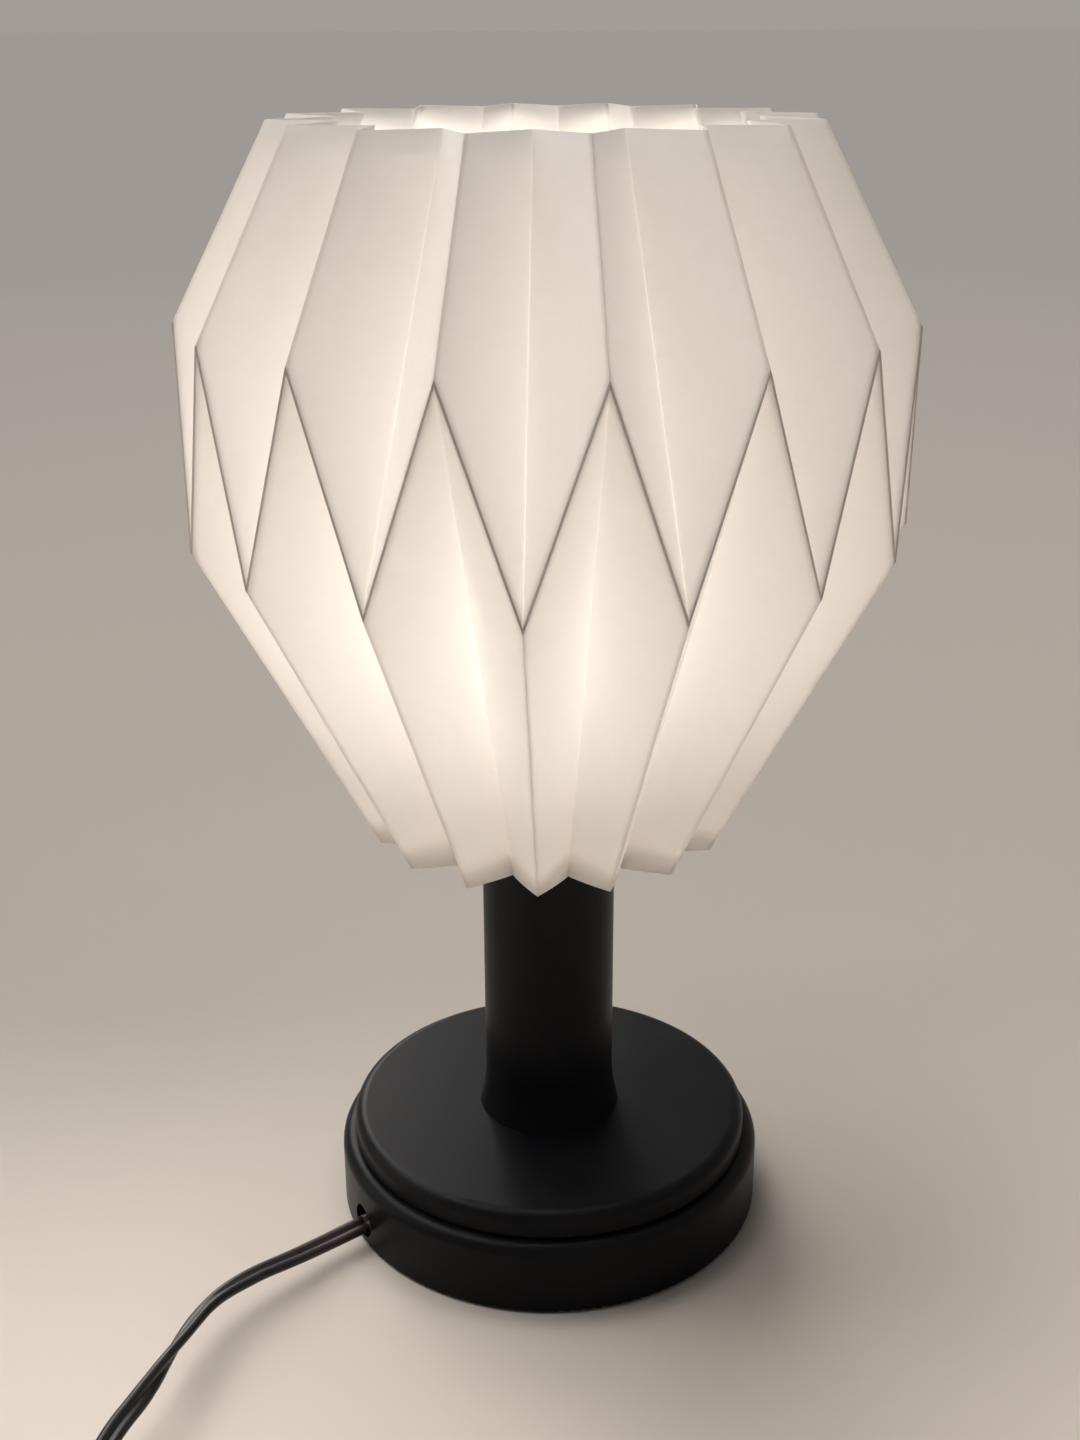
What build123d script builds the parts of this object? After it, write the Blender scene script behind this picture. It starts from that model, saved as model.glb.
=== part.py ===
from build123d import *
import os
from math import atan, cos, pi, radians, sin, sqrt, tan

# A table lamp: a shade folded from one strip of paper stands on a turned black column and base.
# Millimetres, +Z up. The origin is on the table, on the column's axis. The front is -Y.

os.makedirs("parts", exist_ok=True)

# ---- driving dimensions ----

# the folded shade: its facets lie in two pleated cones, one opening downwards and one upwards,
# and where the two cones cross, the paper folds back on itself in a zigzag round the belly
pleats = 16
pleat_turn = 360 / pleats
first_ridge = -82.05            # direction of the ridge nearest the front, from +X
apex_over = 442.0               # height where the upper facets would meet on the axis
apex_under = 29.0               # height where the lower facets would meet on the axis
rim_top = 314.4
rim_bottom = 123.7
peak_r, peak_z = 95.0, 266.2    # upper ends of the zigzag, on the upper ridges
foot_r, foot_z = 95.4, 211.9    # lower ends of the zigzag, on the lower ridges
paper = 0.6                     # thickness of the sheet with its backing

# the ring glued inside the shade, and the three-armed carrier that it stands on
ring_bottom, ring_top = 127.05, 129.0
ring_in, ring_out = 32.6, 38.4
ring_room = 0.05
arms = 3
first_arm = -30.0
arm_width = 8.0
strip = 1.5
arm_start_r, arm_foot_r, arm_head_r, arm_tip_r = 12.0, 20.0, 33.2, 36.0
lug_room, lug_thick, lug_rise = 0.3, 1.1, 0.8

# the base: a hollow turned foot, a thinner disc on it, a weight inside and a felt pad under it
foot_radius, foot_low, foot_top = 63.1, 0.4, 22.0
disc_radius, disc_top = 59.1, 30.0
disc_round, disc_under, foot_round, skirt_round = 3.4, 1.0, 3.6, 0.8
pad_radius, pad_top = 57.0, 2.0
cavity_radius, cavity_top = 50.0, 16.0
well_radius = 15.0
spigot_drop = 1.5
weight_in, weight_out, weight_low = 26.0, 48.0, 10.5
screw_circle, screw_first, screws = 37.0, 29.5, 3
screw_radius, screw_room, screw_head, screw_bite = 1.8, 2.2, 3.6, 4.8

# the column and the threaded pipe that clamps base, column, carrier and socket together
stem_radius, stem_top = 19.05, 116.0
cove_radius, cove_top = 20.9, 44.0
pipe_radius, pipe_bore = 5.0, 3.6
pipe_low, pipe_high = 14.0, 125.9
pipe_room = 0.2
washer_radius, washer_thick = 12.0, 1.5
nut_flats, nut_height = 14.3, 4.0

# the lamp holder
cap_radius, cap_top, cap_wall = 17.0, 131.0, 1.0
shell_radius, shell_low, shell_top, shell_wall = 15.9, 125.0, 166.0, 0.8
lip_in = 11.0
bead_drop = 6.0
sleeve_in, sleeve_out, sleeve_top = 14.2, 15.0, 165.0
core_radius, core_low, core_top = 14.1, 126.0, 140.0
thread_in, thread_out, thread_top = 13.5, 13.9, 164.0
thread_eye, contact_radius = 6.5, 4.0
terminal_z, terminal_r, terminal_room = 133.0, 2.6, 0.05
terminal_start, terminal_long = 9.0, 4.4

# the bulb, a pear-shaped LED lamp 60 mm wide
tip_low, tip_top, tip_radius, tip_room = 141.6, 143.2, 4.5, 0.1
glaze_top, glaze_radius = 146.0, 10.6
bulb_cap_radius, bulb_cap_top = 13.0, 168.0
bulb_cap_wall = 0.4
collar_radius, collar_top, collar_dome_r = 14.0, 205.0, 26.5
collar_waist_r, collar_waist_z = 18.6, 189.0
dome_radius, dome_centre, dome_wall = 30.0, 219.0, 1.5
board_radius, board_thick = 23.5, 1.5

# the flat twin cord: the free stretches are drawn as a round tube of the cord's width
cord = 5.6
hole_turn = -150.5              # direction of the hole through the foot, from +X
hole_z, hole_radius = 7.4, 5.0
exit_turn, exit_z = -149.7, 6.8     # where the cord passes the foot's outer face
exit_heading = -140.0           # the cord lies aslant in its hole
pad_clear = 3.2
pipe_bend = 8.5

# the coil of spare cord
coil_x, coil_y = -71.0, -237.1
coil_outer = 42.0
coil_pitch = cord + 0.5
coil_half_turns = 6
coil_heart = 22.4
coil_low = cord / 2 + 1.2
coil_high = coil_low + coil_pitch
tie_width, tie_thick, tie_room = 12.0, 0.8, 0.2

# the thumb-wheel switch on the cord
switch_x, switch_y = -113.0, -181.0
switch_length, switch_width, switch_height = 50.0, 19.0, 12.0
wheel_radius, wheel_thick, wheel_shift = 9.5, 4.0, 2.5
wheel_notches = 16
notch_radius = 0.6
axle_radius, axle_room, axle_end = 1.6, 0.06, 3.0
wheel_room = 0.4
case_screw, case_screw_head, case_screw_room = 1.2, 2.0, 0.6
case_screw_head_high, case_screw_deep, case_screw_aside, case_screw_along = 1.6, 3.5, 5.6, 13.5
contact_size, contact_along = (5.0, 7.0, 1.4), 16.5

# the plug
plug_x, plug_y, plug_z = -26.5, -196.0, 7.0
plug_length, plug_width, plug_thick = 44.0, 23.0, 14.0
neck_length, neck_width, shoulder, plug_nose = 20.0, 9.0, 7.0, 3.0
blade_gap, blade_thick, blade_out, blade_in = 12.7, 1.5, 17.5, 8.0
blade_narrow, blade_wide = 6.35, 7.94
blade_eye, blade_eye_back = 1.5, 5.0


# ---- shapes that several pieces share ----

def along(turn, radius, height):
    """The point at a direction from +X, a distance from the axis and a height."""
    return Vector(radius * cos(radians(turn)), radius * sin(radians(turn)), height)


def profile(*corners):
    """A face beside the axis, from corners given as radius, height and corner rounding."""
    with BuildSketch(Plane.XZ) as outline:
        with BuildLine():
            FilletPolyline([(r, z) for r, z, _ in corners], radius=[c for *_, c in corners], close=True)
        make_face()
    return outline.sketch


def pleated_cone(apex, ridge_at, valley_at, ridge_turn, wall, low, high):
    """The solid inside a ring of flat facets that all pass through one point of the axis."""
    ridge_slope = ridge_at[0] / (ridge_at[1] - apex)
    valley_slope = valley_at[0] / (valley_at[1] - apex)
    facet = (along(0, ridge_slope, 0) - along(pleat_turn / 2, valley_slope, 0)).length
    facet_slope = ridge_slope * abs(valley_slope) * sin(radians(pleat_turn / 2)) / facet
    # every facet leans alike, so a move along the axis sets all of them in by the same amount
    point = apex + wall / sin(atan(facet_slope))
    rings = []
    for level in (low, high):
        ring = []
        for k in range(pleats):
            turn = ridge_turn + pleat_turn * k
            ring.append(along(turn, ridge_slope * (level - point), level))
            ring.append(along(turn + pleat_turn / 2, valley_slope * (level - point), level))
        rings.append(ring)
    under, over = rings
    facets = [Face(Wire.make_polygon(ring)) for ring in rings]
    for i in range(2 * pleats):
        facets.append(Face(Wire.make_polygon([under[i - 1], under[i], over[i], over[i - 1]])))
    return Solid(Shell(facets))


def pleated_body(wall, low, high):
    """What the upper and the lower folded cone have in common, set in by a wall's thickness."""
    upper = (apex_over, (peak_r, peak_z), (foot_r, foot_z), first_ridge)
    lower = (apex_under, (foot_r, foot_z), (peak_r, peak_z), first_ridge + pleat_turn / 2)
    with BuildPart() as body:
        add(pleated_cone(*upper, wall, low, high))
        add(pleated_cone(*lower, wall, low, high), mode=Mode.INTERSECT)
    return body.part


def bend_radii(route):
    """For each corner of a route, the largest arc that its two runs leave room for."""
    radii = []
    for before, here, after in zip(route, route[1:], route[2:]):
        turn = (here - before).get_angle(after - here)
        shorter = min((here - before).length, (after - here).length)
        radii.append(0.45 * shorter / tan(radians(turn) / 2))
    return radii


def cord_tube(route, radii):
    """The cord's tube along straight runs joined by arcs."""
    with BuildPart() as tube:
        with BuildLine() as path:
            FilletPolyline(*route, radius=radii)
        with BuildSketch(Plane(origin=path.line @ 0, z_dir=path.line % 0)):
            Circle(cord / 2)
        sweep()
    length = path.wires()[0].length
    filled = tube.part.volume / (pi * cord**2 / 4 * length)
    print(f"  {length:.1f} mm long, volume over section times length {filled:.4f},"
          f" radii {[round(r, 1) for r in radii]}")
    return tube.part


# ---- the base ----

with BuildPart() as base_pad:
    with BuildSketch():
        Circle(pad_radius)
    extrude(amount=pad_top)
base_pad.part.label = "base_pad"
export_step(base_pad.part, "parts/base_pad.step")

with BuildPart() as base_foot:
    revolve(profile(
        (well_radius, foot_top, 0), (foot_radius, foot_top, foot_round), (foot_radius, foot_low, skirt_round),
        (pad_radius + 0.3, foot_low, 0), (pad_radius + 0.3, pad_top, 0), (cavity_radius, pad_top, 0),
        (cavity_radius, cavity_top, 0), (well_radius, cavity_top, 0)), axis=Axis.Z)
    with BuildSketch(Plane(origin=along(hole_turn, cavity_radius - 2, hole_z), z_dir=along(hole_turn, 1, 0))):
        Circle(hole_radius)
    extrude(amount=foot_radius - cavity_radius + 4, mode=Mode.SUBTRACT)
    with BuildSketch(Plane.XY.offset(cavity_top)):
        with PolarLocations(screw_circle, screws, start_angle=screw_first):
            Circle(screw_room)
    extrude(amount=foot_top - cavity_top, mode=Mode.SUBTRACT)
base_foot.part.label = "base_foot"
export_step(base_foot.part, "parts/base_foot.step")

with BuildPart() as base_disc:
    revolve(profile(
        (pipe_radius + pipe_room, disc_top, 0), (disc_radius, disc_top, disc_round),
        (disc_radius, foot_top, disc_under),
        (well_radius - 0.1, foot_top, 0), (well_radius - 0.1, foot_top - spigot_drop, 0.4),
        (pipe_radius + pipe_room, foot_top - spigot_drop, 0)), axis=Axis.Z)
    with BuildSketch(Plane.XY.offset(foot_top)):
        with PolarLocations(screw_circle, screws, start_angle=screw_first):
            Circle(screw_radius)
    extrude(amount=screw_bite, mode=Mode.SUBTRACT)
base_disc.part.label = "base_disc"
export_step(base_disc.part, "parts/base_disc.step")

with BuildPart() as base_weight:
    with BuildSketch(Plane.XY.offset(weight_low)):
        Circle(weight_out)
        Circle(weight_in, mode=Mode.SUBTRACT)
        with PolarLocations(screw_circle, screws, start_angle=screw_first):
            Circle(screw_room, mode=Mode.SUBTRACT)
    extrude(amount=cavity_top - weight_low)
base_weight.part.label = "base_weight"
export_step(base_weight.part, "parts/base_weight.step")

# the screws pass the weight and the foot and hold in the disc
with BuildPart() as base_screws:
    with BuildSketch(Plane.XY.offset(weight_low)):
        with PolarLocations(screw_circle, screws, start_angle=screw_first):
            Circle(screw_radius)
    extrude(amount=foot_top + screw_bite - weight_low)
    with BuildSketch(Plane.XY.offset(weight_low)):
        with PolarLocations(screw_circle, screws, start_angle=screw_first):
            Circle(screw_head)
    extrude(amount=-2.0)
base_screws.part.label = "base_screws"
export_step(base_screws.part, "parts/base_screws.step")

# ---- the column and the pipe through it ----

with BuildPart() as stem:
    with BuildSketch(Plane.XZ):
        with BuildLine():
            foot_edge = TangentArc((stem_radius, cove_top), (cove_radius, disc_top), tangent=(0, -1))
            Polyline(
                foot_edge @ 1, (pipe_radius + pipe_room, disc_top), (pipe_radius + pipe_room, stem_top),
                (stem_radius - 0.6, stem_top), (stem_radius, stem_top - 0.6), foot_edge @ 0)
        make_face()
    revolve(axis=Axis.Z)
stem.part.label = "stem"
export_step(stem.part, "parts/stem.step")

with BuildPart() as lamp_pipe:
    with BuildSketch(Plane.XY.offset(pipe_low)):
        Circle(pipe_radius)
        Circle(pipe_bore, mode=Mode.SUBTRACT)
    extrude(amount=pipe_high - pipe_low)
    chamfer(lamp_pipe.edges().filter_by(GeomType.CIRCLE).sort_by(SortBy.RADIUS)[-2:], 0.5)
lamp_pipe.part.label = "lamp_pipe"
export_step(lamp_pipe.part, "parts/lamp_pipe.step")

washer_top = foot_top - spigot_drop
with BuildPart() as pipe_washer:
    with BuildSketch(Plane.XY.offset(washer_top - washer_thick)):
        Circle(washer_radius)
        Circle(pipe_radius + pipe_room, mode=Mode.SUBTRACT)
    extrude(amount=washer_thick)
pipe_washer.part.label = "pipe_washer"
export_step(pipe_washer.part, "parts/pipe_washer.step")

with BuildPart() as pipe_nut:
    with BuildSketch(Plane.XY.offset(washer_top - washer_thick - nut_height)):
        RegularPolygon(nut_flats / 2, 6, major_radius=False)
        Circle(pipe_radius, mode=Mode.SUBTRACT)
    extrude(amount=nut_height)
pipe_nut.part.label = "pipe_nut"
export_step(pipe_nut.part, "parts/pipe_nut.step")

# ---- the carrier of the shade ----

with BuildPart() as carrier_arm:
    with BuildSketch(Plane.XZ):
        with BuildLine():
            rise = ring_bottom - ring_room - stem_top - strip
            slope = rise / (arm_head_r - arm_foot_r)
            lug_out = ring_in - lug_room
            lug_in = lug_out - lug_thick
            lug_top = ring_top + lug_rise
            Polyline(
                (arm_start_r, stem_top), (arm_foot_r + strip / 3, stem_top),
                (arm_head_r + strip / 3, stem_top + rise), (arm_tip_r, stem_top + rise),
                (arm_tip_r, stem_top + rise + strip), (arm_head_r, stem_top + rise + strip),
                (lug_out, stem_top + strip + slope * (lug_out - arm_foot_r)), (lug_out, lug_top),
                (lug_in, lug_top), (lug_in, stem_top + strip + slope * (lug_in - arm_foot_r)),
                (arm_foot_r, stem_top + strip), (arm_start_r, stem_top + strip), close=True)
        make_face()
    extrude(amount=arm_width / 2, both=True)

with BuildPart() as shade_carrier:
    with BuildSketch(Plane.XY.offset(stem_top)):
        Circle(stem_radius - 1.5)
    extrude(amount=strip)
    with PolarLocations(0, arms, start_angle=first_arm):
        add(carrier_arm.part)
    with BuildSketch(Plane.XY.offset(stem_top)):
        Circle(pipe_radius + pipe_room)
    extrude(amount=strip, mode=Mode.SUBTRACT)
shade_carrier.part.label = "shade_carrier"
export_step(shade_carrier.part, "parts/shade_carrier.step")

# ---- the lamp holder ----

holder_low = stem_top + strip
with BuildPart() as holder_cap:
    revolve(profile(
        (pipe_radius + 0.05, holder_low, 0), (12.0, holder_low, 3.0), (cap_radius, holder_low + 7, 5.0),
        (cap_radius, cap_top, 0.4), (cap_radius - cap_wall, cap_top, 0),
        (cap_radius - cap_wall, shell_low, 0),
        (cap_radius - 4, shell_low, 0), (10.5, holder_low + 1.2, 1.0), (8.0, holder_low + 1.2, 0),
        (8.0, core_low, 0), (pipe_radius + 0.05, core_low, 0)), axis=Axis.Z)
holder_cap.part.label = "holder_cap"
export_step(holder_cap.part, "parts/holder_cap.step")

# the outer shell has a turned-in lip that carries the core and a rolled bead under its mouth
bead_z = shell_top - bead_drop
with BuildPart() as holder_shell:
    revolve(profile(
        (lip_in, shell_low, 0), (shell_radius, shell_low, 0.4), (shell_radius, bead_z - 1.5, 0.6),
        (shell_radius + 0.7, bead_z - 0.6, 0.4), (shell_radius + 0.7, bead_z + 0.6, 0.4),
        (shell_radius, bead_z + 1.5, 0.6), (shell_radius, shell_top, 0.3),
        (shell_radius - shell_wall, shell_top, 0.2), (shell_radius - shell_wall, core_low, 0),
        (lip_in, core_low, 0)), axis=Axis.Z)
holder_shell.part.label = "holder_shell"
export_step(holder_shell.part, "parts/holder_shell.step")

with BuildPart() as holder_sleeve:
    with BuildSketch(Plane.XY.offset(core_low)):
        Circle(sleeve_out)
        Circle(sleeve_in, mode=Mode.SUBTRACT)
    extrude(amount=sleeve_top - core_low)
holder_sleeve.part.label = "holder_sleeve"
export_step(holder_sleeve.part, "parts/holder_sleeve.step")

with BuildPart() as holder_core:
    with BuildSketch(Plane.XY.offset(core_low)):
        Circle(core_radius)
    extrude(amount=core_top - core_low)
    for side in (1, -1):
        with BuildSketch(Plane.YZ.offset(side * terminal_start)):
            with Locations((0, terminal_z)):
                Circle(terminal_r + terminal_room)
        extrude(amount=side * core_radius, mode=Mode.SUBTRACT)
holder_core.part.label = "holder_core"
export_step(holder_core.part, "parts/holder_core.step")

with BuildPart() as terminal_screws:
    for side in (1, -1):
        with BuildSketch(Plane.YZ.offset(side * terminal_start)):
            with Locations((0, terminal_z)):
                Circle(terminal_r)
        extrude(amount=side * terminal_long)
terminal_screws.part.label = "terminal_screws"
export_step(terminal_screws.part, "parts/terminal_screws.step")

with BuildPart() as thread_shell:
    with BuildSketch(Plane.XY.offset(core_top)):
        Circle(thread_out)
        Circle(thread_eye, mode=Mode.SUBTRACT)
    extrude(amount=thread_out - thread_in)
    with BuildSketch(Plane.XY.offset(core_top)):
        Circle(thread_out)
        Circle(thread_in, mode=Mode.SUBTRACT)
    extrude(amount=thread_top - core_top)
thread_shell.part.label = "thread_shell"
export_step(thread_shell.part, "parts/thread_shell.step")

with BuildPart() as holder_contact:
    with BuildSketch(Plane.XY.offset(core_top)):
        Circle(contact_radius)
    extrude(amount=tip_low - tip_room - core_top)
holder_contact.part.label = "holder_contact"
export_step(holder_contact.part, "parts/holder_contact.step")

# ---- the bulb ----

with BuildPart() as bulb_tip:
    revolve(profile(
        (0, tip_low, 0), (tip_radius - 1, tip_low, 1.0), (tip_radius, tip_low + 1.0, 0),
        (tip_radius, tip_top, 0), (0, tip_top, 0)), axis=Axis.Z)
bulb_tip.part.label = "bulb_tip"
export_step(bulb_tip.part, "parts/bulb_tip.step")

with BuildPart() as bulb_glaze:
    revolve(profile(
        (0, tip_top, 0), (tip_radius, tip_top, 0), (glaze_radius, glaze_top, 0),
        (0, glaze_top, 0)), axis=Axis.Z)
bulb_glaze.part.label = "bulb_glaze"
export_step(bulb_glaze.part, "parts/bulb_glaze.step")

bulb_cap_in = bulb_cap_radius - bulb_cap_wall
with BuildPart() as bulb_cap:
    revolve(profile(
        (0, glaze_top, 0), (glaze_radius, glaze_top, 0), (bulb_cap_radius, glaze_top + 3, 0.8),
        (bulb_cap_radius, bulb_cap_top, 0), (bulb_cap_in, bulb_cap_top, 0),
        (bulb_cap_in, glaze_top + 3.2, 0.6), (glaze_radius, glaze_top + 0.5, 0),
        (0, glaze_top + 0.5, 0)), axis=Axis.Z)
bulb_cap.part.label = "bulb_cap"
export_step(bulb_cap.part, "parts/bulb_cap.step")

with BuildPart() as bulb_collar:
    with BuildSketch(Plane.XZ):
        with BuildLine():
            flare = ThreePointArc(
                (collar_radius, bulb_cap_top), (collar_waist_r, collar_waist_z), (collar_dome_r, collar_top))
            Polyline(
                flare @ 1, (0, collar_top), (0, glaze_top + 6), (bulb_cap_in, glaze_top + 6),
                (bulb_cap_in, bulb_cap_top), flare @ 0)
        make_face()
    revolve(axis=Axis.Z)
bulb_collar.part.label = "bulb_collar"
export_step(bulb_collar.part, "parts/bulb_collar.step")

with BuildPart() as led_board:
    with BuildSketch(Plane.XY.offset(collar_top)):
        Circle(board_radius)
    extrude(amount=board_thick)
led_board.part.label = "led_board"
export_step(led_board.part, "parts/led_board.step")

with BuildPart() as bulb_dome:
    with BuildSketch(Plane.XZ):
        with BuildLine():
            rounds = []
            for r in (dome_radius, dome_radius - dome_wall):
                cut_r = sqrt(r**2 - (collar_top - dome_centre)**2)
                rounds.append(ThreePointArc((cut_r, collar_top), (r, dome_centre), (0, dome_centre + r)))
            Line(rounds[0] @ 1, rounds[1] @ 1)
            Line(rounds[0] @ 0, rounds[1] @ 0)
        make_face()
    revolve(axis=Axis.Z)
bulb_dome.part.label = "bulb_dome"
export_step(bulb_dome.part, "parts/bulb_dome.step")

# ---- the folded shade and its ring ----

with BuildPart() as shade:
    add(pleated_body(0, rim_bottom, rim_top))
    add(pleated_body(paper, rim_bottom - 1, rim_top + 1), mode=Mode.SUBTRACT)
shade.part.label = "shade"
export_step(shade.part, "parts/shade.step")
print(f"shade {shade.part.volume:.0f} mm3, {len(shade.part.solids())} solid, {len(shade.faces())} faces")

with BuildPart() as shade_ring:
    with BuildSketch(Plane.XY.offset(ring_bottom)):
        Circle(ring_out)
        Circle(ring_in, mode=Mode.SUBTRACT)
    extrude(amount=ring_top - ring_bottom)
shade_ring.part.label = "shade_ring"
export_step(shade_ring.part, "parts/shade_ring.step")

# ---- the cord inside the lamp ----

exit_point = along(exit_turn, foot_radius, exit_z)
inner_route = [
    exit_point, exit_point - along(exit_heading, 20, 0), along(hole_turn, 22, pad_top + pad_clear),
    Vector(0, 0, pad_top + pad_clear), Vector(0, 0, core_low)]
inner_radii = bend_radii(inner_route)
inner_radii[-1] = pipe_bend
print("cord inside the lamp")
with BuildPart() as inner_cord:
    add(cord_tube(inner_route, inner_radii))
inner_cord.part.label = "inner_cord"
export_step(inner_cord.part, "parts/inner_cord.step")

# ---- the free cord: out of the foot in a low arch, through the switch, round the coil, into the plug ----

switch_mid = switch_height / 2
lead_route = [
    exit_point, exit_point + along(exit_heading, 10.5, 0), Vector(-72.4, -48.9, 8.4),
    Vector(-83.2, -59.1, 10.4), Vector(-92.4, -71.6, 12.0), Vector(-97.7, -88.1, 12.8),
    Vector(-102.6, -106.9, 13.0), Vector(-108.9, -121.4, 12.0), Vector(-111.7, -133.0, 9.0),
    Vector(switch_x, -147.0, switch_mid), Vector(switch_x, switch_y + switch_length / 2, switch_mid)]
print("cord from the lamp to the switch")
with BuildPart() as cord_lead:
    add(cord_tube(lead_route, bend_radii(lead_route)))
cord_lead.part.label = "cord_lead"
export_step(cord_lead.part, "parts/cord_lead.step")

coil_start = Vector(coil_x - coil_outer, coil_y + cord, coil_low)
link_route = [
    Vector(switch_x, switch_y - switch_length / 2, switch_mid), Vector(switch_x, -214.5, switch_mid),
    Vector(switch_x, -223.0, coil_low), coil_start]
print("cord from the switch to the coil")
with BuildPart() as cord_link:
    add(cord_tube(link_route, bend_radii(link_route)))
cord_link.part.label = "cord_link"
export_step(cord_link.part, "parts/cord_link.step")

# the coil winds inwards on the table, climbs in its innermost half turn and winds outwards again
inward = [coil_outer - coil_pitch / 2 * i for i in range(coil_half_turns)] + [coil_heart]
reach = inward + inward[::-1]
with BuildPart() as cord_coil:
    with BuildLine() as winding:
        Line(coil_start, coil_start - Vector(0, cord, 0))
        for i, (here, there) in enumerate(zip(reach, reach[1:])):
            side = -1 if i % 2 == 0 else 1
            start = Vector(coil_x + side * here, coil_y, coil_low if i <= coil_half_turns else coil_high)
            end = Vector(coil_x - side * there, coil_y, coil_low if i < coil_half_turns else coil_high)
            middle = (start + end) * 0.5 + Vector(0, side * (end - start).length / 2, 0)
            if i == coil_half_turns:
                TangentArc(start, middle, tangent=(0, side, 0))
                TangentArc(middle, end, tangent=end - start)
            else:
                ThreePointArc(start, middle, end)
        Line(winding.line @ 1, winding.line @ 1 + Vector(0, cord, 0))
    with BuildSketch(Plane(origin=coil_start, z_dir=(0, -1, 0))):
        Circle(cord / 2)
    sweep(path=winding.line)
cord_coil.part.label = "cord_coil"
export_step(cord_coil.part, "parts/cord_coil.step")

coil_length = winding.wires()[0].length
steps = 900
whole = winding.wires()[0]
turns_seen = [whole @ (i / steps) for i in range(steps + 1)]
apart = int(3 * cord / coil_length * steps)
least = min((turns_seen[i] - turns_seen[j]).length for i in range(steps) for j in range(i + apart, steps + 1))
print(f"coil {coil_length:.0f} mm long, {len(reach) - 1} half turns, least gap {least - cord:.2f} mm")

coil_end = Vector(coil_x + coil_outer, coil_y + cord, coil_high)
tail_route = [
    coil_end, Vector(coil_x + coil_outer, -220.5, coil_high), Vector(plug_x, -207.0, plug_z),
    Vector(plug_x, plug_y, plug_z)]
print("cord from the coil to the plug")
with BuildPart() as cord_tail:
    add(cord_tube(tail_route, bend_radii(tail_route)))
cord_tail.part.label = "cord_tail"
export_step(cord_tail.part, "parts/cord_tail.step")

# the tie goes round all the turns at the back of the coil
tie_near = coil_y + coil_heart - cord / 2
tie_far = coil_y + coil_outer - 0.75 * coil_pitch + cord / 2 + 0.5
tie_inner_high = coil_high + cord / 2 + tie_room
tie_room_size = (tie_far - tie_near, tie_inner_high - tie_thick)
with BuildPart() as cord_tie:
    with BuildSketch(Plane.YZ.offset(coil_x - tie_width / 2)):
        with Locations(((tie_near + tie_far) / 2, (tie_inner_high + tie_thick) / 2)):
            RectangleRounded(tie_room_size[0] + 2 * tie_thick, tie_room_size[1] + 2 * tie_thick, 2.4)
            RectangleRounded(*tie_room_size, 2.4 - tie_thick, mode=Mode.SUBTRACT)
    extrude(amount=tie_width)
cord_tie.part.label = "cord_tie"
export_step(cord_tie.part, "parts/cord_tie.step")

# ---- the switch ----

wheel_x = switch_x + wheel_shift
screw_places = [(switch_x - case_screw_aside, switch_y + side * case_screw_along) for side in (1, -1)]
contact_places = [(switch_x, switch_y + side * contact_along) for side in (1, -1)]


def switch_half(low, high, wheel_low, wheel_high, axle_low, axle_high):
    """One half of the case between two heights, with its share of the room for the wheel."""
    with BuildPart() as half:
        with BuildSketch(Plane.XY.offset(low)):
            with Locations((switch_x, switch_y)):
                RectangleRounded(switch_width, switch_length, 6.0)
        extrude(amount=high - low)
        outer_face = half.faces().sort_by(Axis.Z)[0 if low == 0 else -1]
        fillet(outer_face.edges(), 1.6)
        with BuildSketch(Plane.XY.offset(wheel_low)):
            with Locations((wheel_x, switch_y)):
                Circle(wheel_radius + wheel_room)
        extrude(amount=wheel_high - wheel_low, mode=Mode.SUBTRACT)
        with BuildSketch(Plane.XY.offset(axle_low)):
            with Locations((wheel_x, switch_y)):
                Circle(axle_radius + axle_room)
        extrude(amount=axle_high - axle_low, mode=Mode.SUBTRACT)
    return half.part


wheel_space = wheel_thick / 2 + wheel_room
with BuildPart() as switch_base:
    add(switch_half(0, switch_mid, switch_mid - wheel_space, switch_mid, axle_end - 0.1, switch_mid))
    with BuildSketch(Plane.XY.offset(switch_mid - contact_size[2])):
        with Locations(*contact_places):
            Rectangle(*contact_size[:2])
    extrude(amount=contact_size[2], mode=Mode.SUBTRACT)
    with BuildSketch():
        with Locations(*screw_places):
            Circle(case_screw)
    extrude(amount=switch_mid, mode=Mode.SUBTRACT)
    with BuildSketch():
        with Locations(*screw_places):
            Circle(case_screw_head)
    extrude(amount=case_screw_room + case_screw_head_high, mode=Mode.SUBTRACT)
switch_base.part.label = "switch_base"
export_step(switch_base.part, "parts/switch_base.step")

with BuildPart() as switch_cover:
    add(switch_half(switch_mid, switch_height, switch_mid, switch_mid + wheel_space, switch_mid,
                    switch_height - axle_end + 0.1))
    with BuildSketch(Plane.XY.offset(switch_mid)):
        with Locations(*screw_places):
            Circle(case_screw)
    extrude(amount=case_screw_deep, mode=Mode.SUBTRACT)
switch_cover.part.label = "switch_cover"
export_step(switch_cover.part, "parts/switch_cover.step")

with BuildPart() as switch_screws:
    with BuildSketch(Plane.XY.offset(case_screw_room)):
        with Locations(*screw_places):
            Circle(case_screw_head)
    extrude(amount=case_screw_head_high)
    with BuildSketch(Plane.XY.offset(case_screw_room)):
        with Locations(*screw_places):
            Circle(case_screw)
    extrude(amount=switch_mid + case_screw_deep - case_screw_room)
switch_screws.part.label = "switch_screws"
export_step(switch_screws.part, "parts/switch_screws.step")

with BuildPart() as switch_contacts:
    with BuildSketch(Plane.XY.offset(switch_mid - contact_size[2])):
        with Locations(*contact_places):
            Rectangle(*contact_size[:2])
    extrude(amount=contact_size[2])
switch_contacts.part.label = "switch_contacts"
export_step(switch_contacts.part, "parts/switch_contacts.step")

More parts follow.
